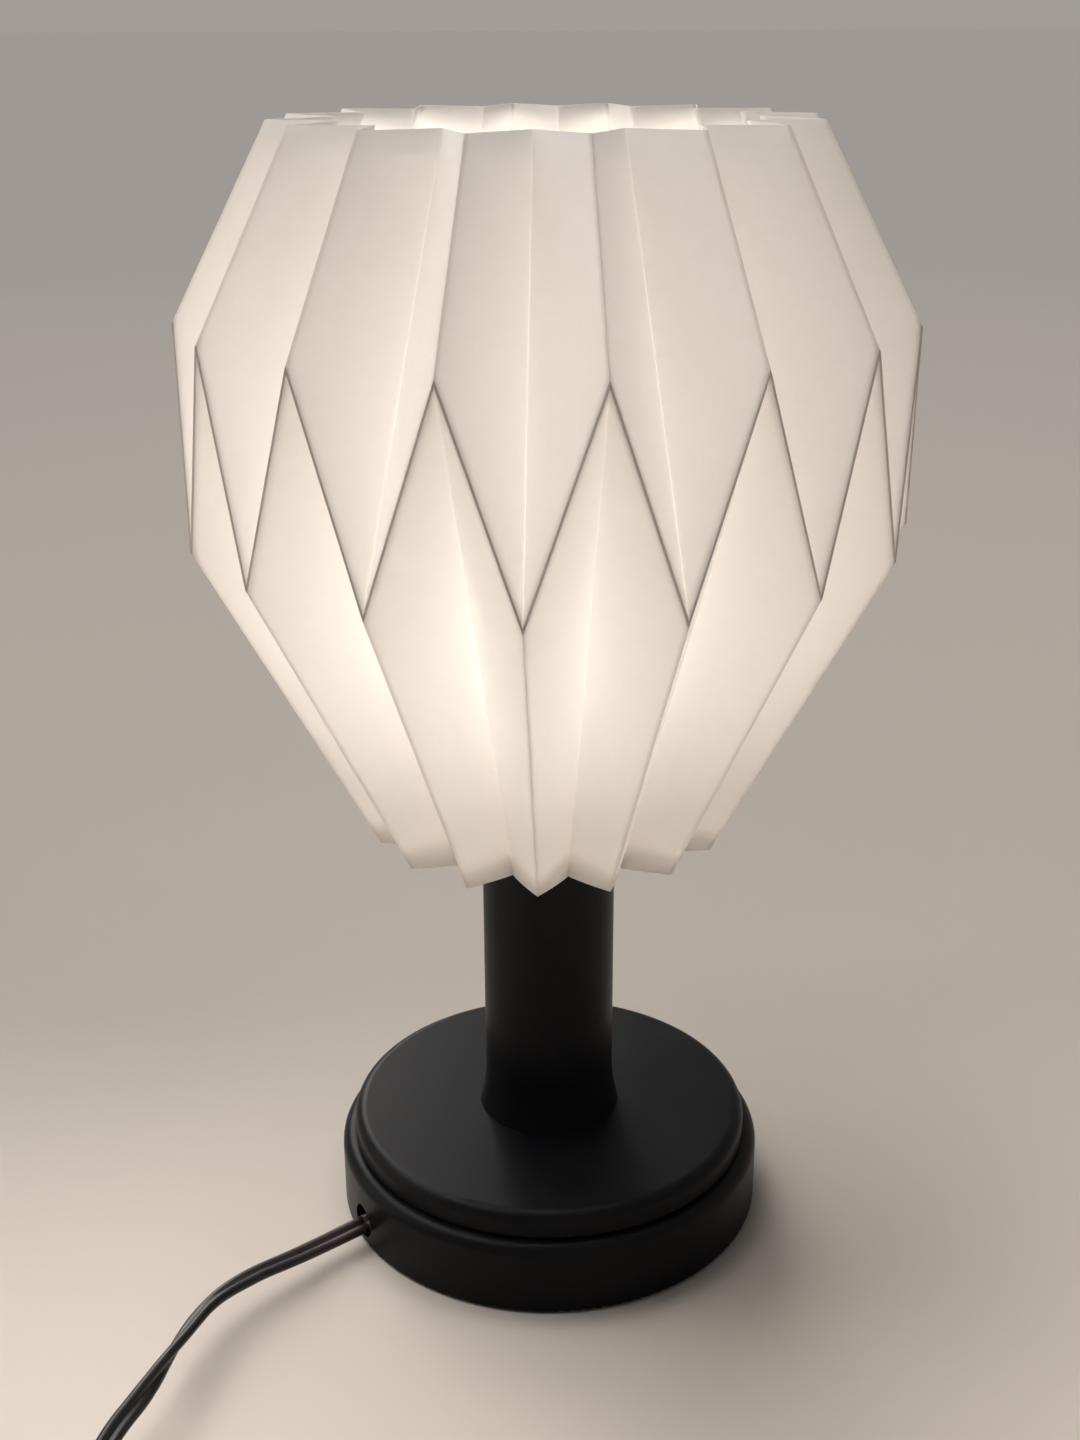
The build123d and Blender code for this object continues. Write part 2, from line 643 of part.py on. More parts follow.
with BuildPart() as switch_wheel:
    with BuildSketch(Plane.XY.offset(switch_mid - wheel_thick / 2)):
        with Locations((wheel_x, switch_y)):
            Circle(wheel_radius)
            with PolarLocations(wheel_radius, wheel_notches):
                Circle(notch_radius, mode=Mode.SUBTRACT)
    extrude(amount=wheel_thick)
    with BuildSketch(Plane.XY.offset(axle_end)):
        with Locations((wheel_x, switch_y)):
            Circle(axle_radius)
    extrude(amount=switch_height - 2 * axle_end)
switch_wheel.part.label = "switch_wheel"
export_step(switch_wheel.part, "parts/switch_wheel.step")

# ---- the plug ----

blades = [("plug_blade_narrow", -1, blade_narrow), ("plug_blade_wide", 1, blade_wide)]
plug_front = plug_y + plug_length
plug_sections = [
    (0, neck_width - 2, neck_width - 2, 1.5), (neck_length, neck_width, neck_width, 2.0),
    (neck_length + shoulder, plug_width, plug_thick, 3.5),
    (plug_length - plug_nose, plug_width, plug_thick, 3.5),
    (plug_length, plug_width - 2, plug_thick - 2, 2.5)]
with BuildPart() as plug_body:
    for back, width, thick, corner in plug_sections:
        with BuildSketch(Plane(origin=(plug_x, plug_y + back, plug_z), x_dir=(1, 0, 0), z_dir=(0, 1, 0))):
            RectangleRounded(width, thick, corner)
    loft(ruled=True)
    for _, side, height in blades:
        with BuildSketch(Plane.XZ.offset(-plug_front)):
            with Locations((plug_x + side * blade_gap / 2, plug_z)):
                Rectangle(blade_thick, height)
        extrude(amount=blade_in, mode=Mode.SUBTRACT)
plug_body.part.label = "plug_body"
export_step(plug_body.part, "parts/plug_body.step")

for name, side, height in blades:
    with BuildPart() as blade:
        middle = plug_x + side * blade_gap / 2
        with BuildSketch(Plane.YZ.offset(middle - blade_thick / 2)):
            with BuildLine():
                low, high, tip = plug_z - height / 2, plug_z + height / 2, plug_front + blade_out
                Polyline(
                    (plug_front - blade_in, low), (tip - blade_eye, low), (tip, low + blade_eye),
                    (tip, high - blade_eye), (tip - blade_eye, high), (plug_front - blade_in, high),
                    close=True)
            make_face()
            with Locations((tip - blade_eye_back, plug_z)):
                Circle(blade_eye, mode=Mode.SUBTRACT)
        extrude(amount=blade_thick)
    blade.part.label = name
    export_step(blade.part, f"parts/{name}.step")
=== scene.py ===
"""The looks of a table lamp with a folded paper shade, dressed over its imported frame."""

import logging
import math
from dataclasses import dataclass, field
from enum import Enum
from typing import Callable, Iterable, Sequence

import bmesh
import bpy
from mathutils import Matrix, Vector


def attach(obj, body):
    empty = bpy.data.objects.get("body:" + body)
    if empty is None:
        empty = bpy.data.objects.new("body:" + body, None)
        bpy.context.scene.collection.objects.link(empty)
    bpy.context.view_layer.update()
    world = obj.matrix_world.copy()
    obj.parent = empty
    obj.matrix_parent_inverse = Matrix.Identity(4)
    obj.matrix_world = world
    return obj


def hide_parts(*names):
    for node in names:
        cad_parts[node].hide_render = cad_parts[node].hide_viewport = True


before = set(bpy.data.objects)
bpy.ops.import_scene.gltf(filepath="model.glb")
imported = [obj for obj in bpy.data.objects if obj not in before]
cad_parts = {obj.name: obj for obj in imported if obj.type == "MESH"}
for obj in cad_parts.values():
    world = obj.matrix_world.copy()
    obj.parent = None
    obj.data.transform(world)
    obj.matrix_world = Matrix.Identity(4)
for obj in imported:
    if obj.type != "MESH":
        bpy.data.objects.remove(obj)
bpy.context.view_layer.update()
MM = 0.001
# UV units to the metre in the pieces' own maps
MAP_SCALE = 10
WHITE = (1.0, 1.0, 1.0)
log = logging.getLogger("lamp")
Socket = bpy.types.NodeSocket
Material = bpy.types.Material
Colour = tuple[float, float, float]


def along(turn: float, radius: float, height: float) -> Vector:
    """Gives a point by its direction round the column.

    Args:
        turn: direction from +X in degrees.
        radius: distance from the column's axis in millimetres.
        height: height over the table in millimetres.

    Returns:
        The point in metres.
    """
    angle = math.radians(turn)
    return Vector((radius * math.cos(angle), radius * math.sin(angle), height)) * MM


# ---------------------------------------------------------------- node boards

class Board:
    """A material's node tree with one Principled shader, and short calls that wire more nodes to it."""

    def __init__(self, name: str) -> None:
        """Starts a material.

        Args:
            name: the material's name.
        """
        self.material = bpy.data.materials.new(name)
        self.material.use_nodes = True
        self.tree = self.material.node_tree
        self.tree.nodes.clear()
        self.out = self.add("ShaderNodeOutputMaterial")
        self.shader = self.add("ShaderNodeBsdfPrincipled")
        self.show(self.shader.outputs[0])
        self.place = self.add("ShaderNodeTexCoord").outputs["Object"]

    def add(self, kind: str, **settings: object) -> bpy.types.Node:
        """Adds a node and sets its properties.

        Args:
            kind: the node's type.
            **settings: properties of the node by name.

        Returns:
            The node.
        """
        node = self.tree.nodes.new(kind)
        for name, value in settings.items():
            setattr(node, name, value)
        return node

    def join(self, source: Socket, target: Socket) -> None:
        """Wires one socket to another."""
        self.tree.links.new(source, target)

    def show(self, source: Socket) -> None:
        """Makes a shader the material's surface."""
        self.join(source, self.out.inputs["Surface"])

    def set(self, **values: object) -> None:
        """Sets the main shader's plain inputs.

        Args:
            **values: the inputs' values by name, with underscores for spaces.
        """
        for name, value in values.items():
            if isinstance(value, tuple):
                value = (*value, 1.0)
            self.shader.inputs[name.replace("_", " ")].default_value = value

    def feed(self, name: str, source: Socket) -> None:
        """Wires a socket to one of the main shader's inputs."""
        self.join(source, self.shader.inputs[name])

    def parts(self, source: Socket) -> list[Socket]:
        """Splits coordinates into their three numbers.

        Args:
            source: the coordinates.

        Returns:
            The sockets of X, Y and Z.
        """
        node = self.add("ShaderNodeSeparateXYZ")
        self.join(source, node.inputs[0])
        return list(node.outputs)

    def stretched(self, scale: Sequence[float], source: Socket | None = None) -> Socket:
        """Gives coordinates stretched by a factor along each axis.

        Args:
            scale: the three factors.
            source: the coordinates, or None for the object's own.

        Returns:
            The stretched coordinates.
        """
        node = self.add("ShaderNodeMapping")
        node.inputs["Scale"].default_value = scale
        self.join(source or self.place, node.inputs["Vector"])
        return node.outputs[0]

    def noise(self, scale: float, detail: float = 4.0, rough: float = 0.5,
              source: Socket | None = None) -> Socket:
        """Gives a noise value.

        Args:
            scale: how many features there are to the metre.
            detail: octaves of finer noise.
            rough: how strong the finer octaves are.
            source: the coordinates, or None for the object's own.

        Returns:
            The noise's factor, from 0 to 1.
        """
        node = self.add("ShaderNodeTexNoise")
        node.inputs["Scale"].default_value = scale
        node.inputs["Detail"].default_value = detail
        node.inputs["Roughness"].default_value = rough
        self.join(source or self.place, node.inputs["Vector"])
        return node.outputs["Fac"]

    def sums(self, operation: str, first: Socket | float, second: Socket | float = 0.0,
             third: Socket | float = 0.0) -> Socket:
        """Does one sum on numbers.

        Args:
            operation: the Math node's operation.
            first: the first number or socket.
            second: the second one.
            third: the third one, where the operation has it.

        Returns:
            The result.
        """
        node = self.add("ShaderNodeMath", operation=operation)
        for i, value in enumerate((first, second, third)):
            if isinstance(value, bpy.types.NodeSocket):
                self.join(value, node.inputs[i])
            else:
                node.inputs[i].default_value = value
        return node.outputs[0]

    def span(self, source: Socket, low: float, high: float, start: float = 0.0, end: float = 1.0,
             smooth: bool = True) -> Socket:
        """Carries a range of values over to another range, held at its ends.

        Args:
            source: the value.
            low: the value at which the result is start.
            high: the value at which the result is end.
            start: the result at low.
            end: the result at high.
            smooth: whether the way between is an S curve.

        Returns:
            The new value.
        """
        node = self.add("ShaderNodeMapRange", interpolation_type="SMOOTHSTEP" if smooth else "LINEAR")
        for name, value in (("From Min", low), ("From Max", high), ("To Min", start), ("To Max", end)):
            node.inputs[name].default_value = value
        self.join(source, node.inputs["Value"])
        return node.outputs["Result"]

    def ramp(self, source: Socket, stops: Sequence[tuple[float, Colour]]) -> Socket:
        """Turns a value into a colour.

        Args:
            source: the value.
            stops: places from 0 to 1, each with its colour.

        Returns:
            The colour.
        """
        node = self.add("ShaderNodeValToRGB")
        marks = node.color_ramp.elements
        while len(marks) < len(stops):
            marks.new(0.5)
        for mark, (place, colour) in zip(marks, stops):
            mark.position = place
            mark.color = (*colour, 1.0)
        self.join(source, node.inputs["Fac"])
        return node.outputs["Color"]

    def tint(self, colour: Socket | Colour, factor: Socket) -> Socket:
        """Multiplies a colour by a number.

        Args:
            colour: the colour.
            factor: the number.

        Returns:
            The new colour.
        """
        node = self.add("ShaderNodeVectorMath", operation="SCALE")
        if isinstance(colour, bpy.types.NodeSocket):
            self.join(colour, node.inputs[0])
        else:
            node.inputs[0].default_value = colour
        self.join(factor, node.inputs["Scale"])
        return node.outputs[0]

    def product(self, first: Socket, second: Socket) -> Socket:
        """Multiplies two colours.

        Args:
            first: the first colour.
            second: the second one.

        Returns:
            Their product.
        """
        node = self.add("ShaderNodeVectorMath", operation="MULTIPLY")
        self.join(first, node.inputs[0])
        self.join(second, node.inputs[1])
        return node.outputs[0]

    def bump(self, height: Socket, strength: float, distance: float, below: Socket | None = None) -> Socket:
        """Turns a height into a normal.

        Args:
            height: the height's value.
            strength: from 0 to 1.
            distance: what a height of 1 stands for in metres.
            below: a normal on which this bump lies, or None.

        Returns:
            The normal.
        """
        node = self.add("ShaderNodeBump")
        node.inputs["Strength"].default_value = strength
        node.inputs["Distance"].default_value = distance
        self.join(height, node.inputs["Height"])
        if below is not None:
            self.join(below, node.inputs["Normal"])
        return node.outputs[0]


# ---------------------------------------------------------------- finishes

@dataclass(frozen=True)
class TurnedBlack:
    """Satin black paint on turned wood: faint turning lines, the paint's fine peel and a trace of dust.

    Scales are in features to the metre and depths in metres, here and in the other finishes.
    """

    colour: Colour = (0.0040, 0.0044, 0.0058)
    dust: Colour = (0.0085, 0.0088, 0.0100)
    gloss: float = 0.10
    roughness: float = 0.36
    clouds: float = 22.0
    specks: float = 900.0
    turning: tuple[float, float, float] = (8.0, 8.0, 1400.0)
    turning_depth: float = 0.00006
    peel: float = 1500.0
    peel_depth: float = 0.00003

    def build(self) -> Material:
        """Builds the material.

        Returns:
            The material.
        """
        board = Board("turned_black_paint")
        board.set(Specular_IOR_Level=self.gloss)
        cloud = board.noise(self.clouds, 5.0, 0.6)
        speck = board.span(board.noise(self.specks, 2.0, 0.5), 0.66, 0.74)
        dusty = board.sums("MULTIPLY_ADD", speck, 0.25, board.span(cloud, 0.35, 0.7, 0.0, 0.8))
        board.feed("Base Color", board.ramp(dusty, [(0.0, self.colour), (1.0, self.dust)]))
        board.feed("Roughness", board.span(cloud, 0.3, 0.75, self.roughness - 0.03, self.roughness + 0.06))
        lines = board.noise(1.0, 3.0, 0.6, board.stretched(self.turning))
        coarse = board.bump(lines, 0.10, self.turning_depth)
        peel = board.noise(self.peel, 2.0, 0.5)
        board.feed("Normal", board.bump(peel, 0.16, self.peel_depth, coarse))
        return board.material


@dataclass(frozen=True)
class FoldedPaper:
    """Stiff translucent paper with pressed folds. Its two maps give each point's distance to the folds.

    A line or a painted shadow has its full strength up to its first width from the fold in millimetres and
    has faded at its second. A dimming or a gain multiplies the light that comes through the paper; the
    belly's dimming is painted shade that darkens the paper's colour too, and the rim's gain and the body's
    dimming are painted light, brighter near the lower rim.
    """

    colour: Colour = (0.93, 0.90, 0.86)
    fibre: Colour = (0.905, 0.87, 0.825)
    passing: Colour = (0.97, 0.955, 0.94)
    ridge_mark: Colour = (0.955, 0.94, 0.935)
    belly_mark: Colour = (0.64, 0.60, 0.585)
    share_through: float = 0.43
    ridge_line: tuple[float, float] = (0.6, 1.15)
    belly_line: tuple[float, float] = (0.35, 0.65)
    belly_shadow: tuple[float, float] = (0.5, 3.0)
    belly_dimming: float = 0.95
    valley_line: tuple[float, float] = (0.1, 0.45)
    valley_gain: float = 1.12
    rim_heights: tuple[float, float] = (125.0, 145.0)
    painted_rim_light: float = 1.08
    painted_body_dimming: float = 0.93
    mottle: float = 260.0
    grain: float = 2600.0
    grain_depth: float = 0.00004

    def faded(self, board: Board, distance: Socket, widths: tuple[float, float]) -> Socket:
        """Gives 1 near a fold and 0 away from it.

        Args:
            board: the material's board.
            distance: the distance to the fold as the map gives it.
            widths: up to where it is 1, and from where it is 0, in millimetres.

        Returns:
            The value.
        """
        return board.span(distance, widths[0] * MM * MAP_SCALE, widths[1] * MM * MAP_SCALE, 1.0, 0.0)

    def build(self) -> Material:
        """Builds the material.

        Returns:
            The material.
        """
        board = Board("folded_paper")
        board.set(Roughness=0.62, Specular_IOR_Level=0.25)
        ridge, valley, _ = board.parts(board.add("ShaderNodeUVMap", uv_map="across").outputs[0])
        belly, part, _ = board.parts(board.add("ShaderNodeUVMap", uv_map="down").outputs[0])
        marks = board.product(
            board.ramp(self.faded(board, ridge, self.ridge_line), [(0.0, WHITE), (1.0, self.ridge_mark)]),
            board.ramp(self.faded(board, belly, self.belly_line), [(0.0, WHITE), (1.0, self.belly_mark)]))
        # painted shadow: the paper's colour and the light through it are darker along the zigzag
        near_belly = self.faded(board, belly, self.belly_shadow)
        shade = board.span(near_belly, 0.0, 1.0, 1.0, self.belly_dimming)
        # only the upper facets show their valleys as bright lines
        upper = board.span(part, 0.45, 0.55)
        in_valley = board.sums("MULTIPLY", self.faded(board, valley, self.valley_line), upper)
        lit = board.sums("MULTIPLY", shade, board.span(in_valley, 0.0, 1.0, 1.0, self.valley_gain))
        # painted light: the light through the paper is brighter near the lower rim than higher up
        low, high = (height * MM for height in self.rim_heights)
        height = board.parts(board.place)[2]
        lit = board.sums("MULTIPLY", lit, board.span(height, low, high, self.painted_rim_light, self.painted_body_dimming))
        paper = board.ramp(board.noise(self.mottle, 6.0, 0.65), [(0.3, self.fibre), (0.7, self.colour)])
        board.feed("Base Color", board.product(board.tint(paper, shade), marks))
        board.feed("Normal", board.bump(board.noise(self.grain, 3.0, 0.6), 0.12, self.grain_depth))
        through = board.add("ShaderNodeBsdfTranslucent")
        board.join(board.product(board.tint(self.passing, lit), marks), through.inputs["Color"])
        mix = board.add("ShaderNodeMixShader")
        mix.inputs[0].default_value = self.share_through
        board.join(board.shader.outputs[0], mix.inputs[1])
        board.join(through.outputs[0], mix.inputs[2])
        board.show(mix.outputs[0])
        return board.material


@dataclass(frozen=True)
class Glow:
    """A lit part of the burning bulb, or a painted glow on a part of it that is no lamp: its light changes
    with the height and is stronger on its left.

    The heights and the half width are in millimetres.
    """

    name: str = "opal_dome"
    colour: Colour = (0.95, 0.93, 0.88)
    light: Colour = (1.0, 0.98, 0.955)
    strength: float = 13.5
    low: float = 205.0
    high: float = 240.0
    at_low: float = 1.1
    at_high: float = 0.9
    half_width: float = 24.0
    lean: float = 0.3

    def build(self) -> Material:
        """Builds the material.

        Returns:
            The material.
        """
        board = Board(self.name)
        board.set(Base_Color=self.colour, Roughness=0.35)
        across, _, height = board.parts(board.place)
        up = board.span(height, self.low * MM, self.high * MM, self.at_low, self.at_high)
        half = self.half_width * MM
        side = board.span(across, -half, half, 1.0 + self.lean, 1.0 - self.lean)
        board.feed("Emission Color", board.tint(self.light, board.sums("MULTIPLY", up, side)))
        board.set(Emission_Strength=self.strength)
        board.feed("Normal", board.bump(board.noise(900.0, 2.0), 0.05, 0.00003))
        return board.material


@dataclass(frozen=True)
class Jacket:
    """The cord's glossy vinyl: brown-black, browner at the lamp, with draw lines along the cord."""

    dark: Colour = (0.0060, 0.0056, 0.0062)
    brown: Colour = (0.0150, 0.0095, 0.0098)
    second_tone: Colour = (0.036, 0.020, 0.021)
    lamp_end_run: tuple[float, float] = (12.0, 36.0)
    gloss: float = 0.42
    drawing: tuple[float, float, float] = (0.6, 60.0, 1.0)
    drawn_depth: float = 0.00004

    def build(self) -> Material:
        """Builds the material.

        Returns:
            The material.
        """
        board = Board("cord_jacket")
        board.set(Specular_IOR_Level=self.gloss)
        skin = board.ramp(board.noise(90.0, 4.0, 0.6), [(0.35, self.dark), (0.75, self.brown)])
        lay = board.add("ShaderNodeUVMap", uv_map="lay").outputs[0]
        # the cord is browner over its first few centimetres from the lamp
        start, end = (run * MM * MAP_SCALE for run in self.lamp_end_run)
        near_lamp = board.span(board.parts(lay)[0], start, end, 1.0, 0.0)
        both = board.add("ShaderNodeVectorMath", operation="ADD")
        board.join(skin, both.inputs[0])
        board.join(board.ramp(near_lamp, [(0.0, (0, 0, 0)), (1.0, self.second_tone)]), both.inputs[1])
        board.feed("Base Color", both.outputs[0])
        board.feed("Roughness", board.span(board.noise(140.0, 3.0, 0.5), 0.3, 0.75, 0.27, 0.38))
        drawn = board.noise(1.0, 2.0, 0.4, board.stretched(self.drawing, lay))
        board.feed("Normal", board.bump(drawn, 0.06, self.drawn_depth))
        return board.material


class Metal(Enum):
    """The metals of the fittings, each with its colour and roughness."""

    BRASS = ((0.78, 0.58, 0.27), 0.26)
    ZINC = ((0.62, 0.63, 0.65), 0.34)
    THREAD = ((0.80, 0.80, 0.79), 0.22)
    BLACKED = ((0.03, 0.03, 0.032), 0.45)


@dataclass(frozen=True)
class WorkedMetal:
    """Sheet or turned metal with fine working marks round the column's axis."""

    kind: Metal
    name: str
    clouds: float = 60.0
    working: tuple[float, float, float] = (12.0, 12.0, 900.0)
    wear: float = 0.82
    depth: float = 0.00003

    def build(self) -> Material:
        """Builds the material.

        Returns:
            The material.
        """
        colour, rough = self.kind.value
        board = Board(self.name)
        board.set(Metallic=0.0 if self.kind is Metal.BLACKED else 1.0)
        second_tone = tuple(c * self.wear for c in colour)
        cloud = board.noise(self.clouds, 4.0, 0.55)
        board.feed("Base Color", board.ramp(cloud, [(0.3, second_tone), (0.65, colour)]))
        lines = board.noise(1.0, 3.0, 0.5, board.stretched(self.working))
        board.feed("Roughness", board.span(lines, 0.25, 0.75, rough - 0.06, rough + 0.1))
        board.feed("Normal", board.bump(lines, 0.15, self.depth))
        return board.material


@dataclass(frozen=True)
class Moulded:
    """Moulded plastic, or cast metal or rubber, with a fine grain."""

    name: str
    colour: Colour
    roughness: float = 0.45
    grain: float = 2200.0
    depth: float = 0.00004
    clouds: float = 70.0

    def build(self) -> Material:
        """Builds the material.

        Returns:
            The material.
        """
        board = Board(self.name)
        cloud = board.noise(self.clouds, 4.0, 0.6)
        lighter = tuple(min(c * 1.12 + 0.002, 1.0) for c in self.colour)
        board.feed("Base Color", board.ramp(cloud, [(0.3, self.colour), (0.7, lighter)]))
        board.feed("Roughness", board.span(cloud, 0.3, 0.7, self.roughness - 0.04, self.roughness + 0.07))
        board.feed("Normal", board.bump(board.noise(self.grain, 3.0, 0.6), 0.22, self.depth))
        return board.material


@dataclass(frozen=True)
class Pressed:
    """Pressed board or felt: a mat of short fibres."""

    name: str
    colour: Colour
    fibre: Colour
    scale: float = 1400.0
    depth: float = 0.0001

    def build(self) -> Material:
        """Builds the material.

        Returns:
            The material.
        """
        board = Board(self.name)
        board.set(Roughness=0.92, Specular_IOR_Level=0.15)
        mat = board.noise(self.scale, 6.0, 0.7)
        laid = board.noise(1.0, 4.0, 0.6, board.stretched((self.scale * 0.2, self.scale, self.scale * 0.5)))
        both = board.sums("MULTIPLY_ADD", laid, 0.5, board.sums("MULTIPLY", mat, 0.5))
        board.feed("Base Color", board.ramp(both, [(0.35, self.colour), (0.65, self.fibre)]))
        board.feed("Normal", board.bump(both, 0.6, self.depth))
        return board.material


@dataclass(frozen=True)
class TableTop:
    """The pale top that the lamp stands on, in painted light: lightest in front of the lamp as if lit by its
    glow, darker behind and far away as painted shade.

    The two runs are in metres: along Y for the one behind, from the lamp outwards for the far one.
    """

    front: Colour = (0.86, 0.775, 0.695)
    back: Colour = (0.47, 0.43, 0.39)
    far: Colour = (0.381, 0.362, 0.351)
    back_run: tuple[float, float] = (-0.15, 0.13)
    far_run: tuple[float, float] = (0.3, 2.6)
    clouding: float = 0.02

    def build(self) -> Material:
        """Builds the material.

        Returns:
            The material.
        """
        board = Board("table_top")
        board.set(Roughness=0.9, Specular_IOR_Level=0.0)
        away = board.add("ShaderNodeVectorMath", operation="LENGTH")
        board.join(board.place, away.inputs[0])
        cloud = board.span(board.noise(3.0, 3.0, 0.5), 0.3, 0.7, -self.clouding, self.clouding)
        # painted light and shade: the table is darker behind the lamp and far from it
        behind = board.span(board.parts(board.place)[1], *self.back_run, 0.0, 0.5)
        distant = board.span(away.outputs["Value"], *self.far_run, 0.0, 0.5)
        painted_light_tone = board.sums("ADD", board.sums("ADD", behind, distant), cloud)
        board.feed("Base Color", board.ramp(painted_light_tone, [(0.0, self.front), (0.5, self.back), (1.0, self.far)]))
        return board.material


# ---------------------------------------------------------------- making pieces

def piece_from(bm: bmesh.types.BMesh, name: str, material: Material, smooth: bool = True) -> bpy.types.Object:
    """Turns a bmesh into a piece of the scene.

    Args:
        bm: the mesh, which is freed.
        name: the piece's name.
        material: its finish.
        smooth: whether its faces are shaded smooth.

    Returns:
        The new object.
    """
    mesh = bpy.data.meshes.new(name)
    bm.to_mesh(mesh)
    bm.free()
    mesh.materials.append(material)
    if smooth:
        mesh.shade_smooth()
    piece = bpy.data.objects.new(name, mesh)
    bpy.context.scene.collection.objects.link(piece)
    return piece


@dataclass
class FoldedShade:
    """The folded shade: pleats pressed in two cones that meet in a zigzag round the belly.

    Lengths are in millimetres and directions in degrees from +X. Each facet bows out by up to the bow,
    which begins at the zigzag and is full from bow_start on.
    """

    pleats: int = 16
    first_ridge: float = -82.05
    apex_over: float = 442.0
    apex_under: float = 29.0
    rim_top: float = 314.4
    rim_bottom: float = 123.7
    peak: tuple[float, float] = (95.0, 266.2)
    foot: tuple[float, float] = (95.4, 211.9)
    paper: float = 0.3
    cuts: int = 11
    bow: float = 0.35
    bow_start: float = 12.0
    sharp_from: float = 14.0
    weld: float = 0.005
    finish: FoldedPaper = field(default_factory=FoldedPaper)

    def at(self, apex: float, through: tuple[float, float], turn: float, height: float) -> Vector:
        """Gives a point on a fold line that runs to a cone's point.

        Args:
            apex: height of the cone's point on the axis.
            through: radius and height of a point on the fold.
            turn: the fold's direction, counted from the pleat's ridge.
            height: height of the wanted point.

        Returns:
            The point in metres.
        """
        return along(turn, through[0] / (through[1] - apex) * (height - apex), height)

    def half_pleat(self, bm: bmesh.types.BMesh) -> None:
        """Makes the upper and the lower facet on one side of a ridge.

        Args:
            bm: the mesh that takes them.
        """
        half = 180.0 / self.pleats
        peak = along(0.0, *self.peak)
        foot = along(half, *self.foot)
        over, under = self.apex_over, self.apex_under
        ridge_end = self.at(over, self.peak, 0.0, self.rim_top)
        valley_end = self.at(over, self.foot, half, self.rim_top)
        ridge_foot = self.at(under, self.foot, half, self.rim_bottom)
        valley_foot = self.at(under, self.peak, 0.0, self.rim_bottom)
        # corners in order: ridge's far end, ridge at the zigzag, valley at the zigzag, valley's far end
        self.facet(bm, [ridge_end, peak, foot, valley_end], 1.0)
        self.facet(bm, [ridge_foot, foot, peak, valley_foot], 0.0)

    def facet(self, bm: bmesh.types.BMesh, corners: Sequence[Vector], part: float) -> None:
        """Makes one facet with its fold maps, bowed a little.

        Args:
            bm: the mesh that takes it.
            corners: ridge's far end, ridge at the zigzag, valley at the zigzag, valley's far end.
            part: 1 for an upper facet and 0 for a lower one.
        """
        one = bmesh.new()
        across, down = (one.loops.layers.uv.new(name) for name in ("across", "down"))
        one.faces.new([one.verts.new(c) for c in corners])
        bmesh.ops.subdivide_edges(one, edges=one.edges[:], cuts=self.cuts, use_grid_fill=True)
        ridge_far, ridge_near, valley_near, valley_far = corners

        def apart(point: Vector, start: Vector, end: Vector) -> float:
            """Gives a point's distance to a line."""
            line = (end - start).normalized()
            return ((point - start) - line * (point - start).dot(line)).length

        for face in one.faces:
            for loop in face.loops:
                here = loop.vert.co
                from_ridge = apart(here, ridge_near, ridge_far)
                from_valley = apart(here, valley_near, valley_far)
                loop[across].uv = (from_ridge * MAP_SCALE, from_valley * MAP_SCALE)
                loop[down].uv = (apart(here, ridge_near, valley_near) * MAP_SCALE, part)
        normal = (ridge_near - ridge_far).cross(valley_far - ridge_far).normalized()
        if normal.dot(Vector((ridge_near.x, ridge_near.y, 0))) < 0:
            normal = -normal
        # the bow moves the paper level, so that the rims keep their heights
        for vert in one.verts:
            to_ridge = apart(vert.co, ridge_near, ridge_far)
            to_valley = apart(vert.co, valley_near, valley_far)
            to_belly = apart(vert.co, ridge_near, valley_near)
            swell = 4 * to_ridge * to_valley / (to_ridge + to_valley)**2
            rise = self.bow * MM * swell * min(to_belly / (self.bow_start * MM), 1.0)
            vert.co += Vector((normal.x, normal.y, 0.0)) * rise
        mesh = bpy.data.meshes.new("facet")
        one.to_mesh(mesh)
        one.free()
        bm.from_mesh(mesh)
        bpy.data.meshes.remove(mesh)

    def build(self) -> bpy.types.Object:
        """Builds the shade and hangs it on its body.

        Returns:
            The shade.
        """
        bm = bmesh.new()
        for name in ("across", "down"):
            bm.loops.layers.uv.new(name)
        self.half_pleat(bm)
        bmesh.ops.mirror(bm, geom=bm.verts[:] + bm.edges[:] + bm.faces[:], matrix=Matrix.Identity(4),
                         merge_dist=0.001 * MM, axis="Y")
        bmesh.ops.rotate(bm, verts=bm.verts, cent=(0, 0, 0),
                         matrix=Matrix.Rotation(math.radians(self.first_ridge), 3, "Z"))
        turn = math.tau * (self.pleats - 1) / self.pleats
        bmesh.ops.spin(bm, geom=bm.verts[:] + bm.edges[:] + bm.faces[:], cent=(0, 0, 0), axis=(0, 0, 1),
                       dvec=(0, 0, 0), angle=turn, steps=self.pleats - 1, use_duplicate=True)
        bmesh.ops.remove_doubles(bm, verts=bm.verts, dist=self.weld * MM)
        bmesh.ops.recalc_face_normals(bm, faces=bm.faces)
        piece = piece_from(bm, "folded_shade", self.finish.build())
        piece.data.set_sharp_from_angle(angle=math.radians(self.sharp_from))
        wall = piece.modifiers.new("sheet", "SOLIDIFY")
        wall.thickness = self.paper * MM
        wall.offset = -1.0
        wall.use_even_offset = True
        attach(piece, "shade")
        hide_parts("shade")
        return piece


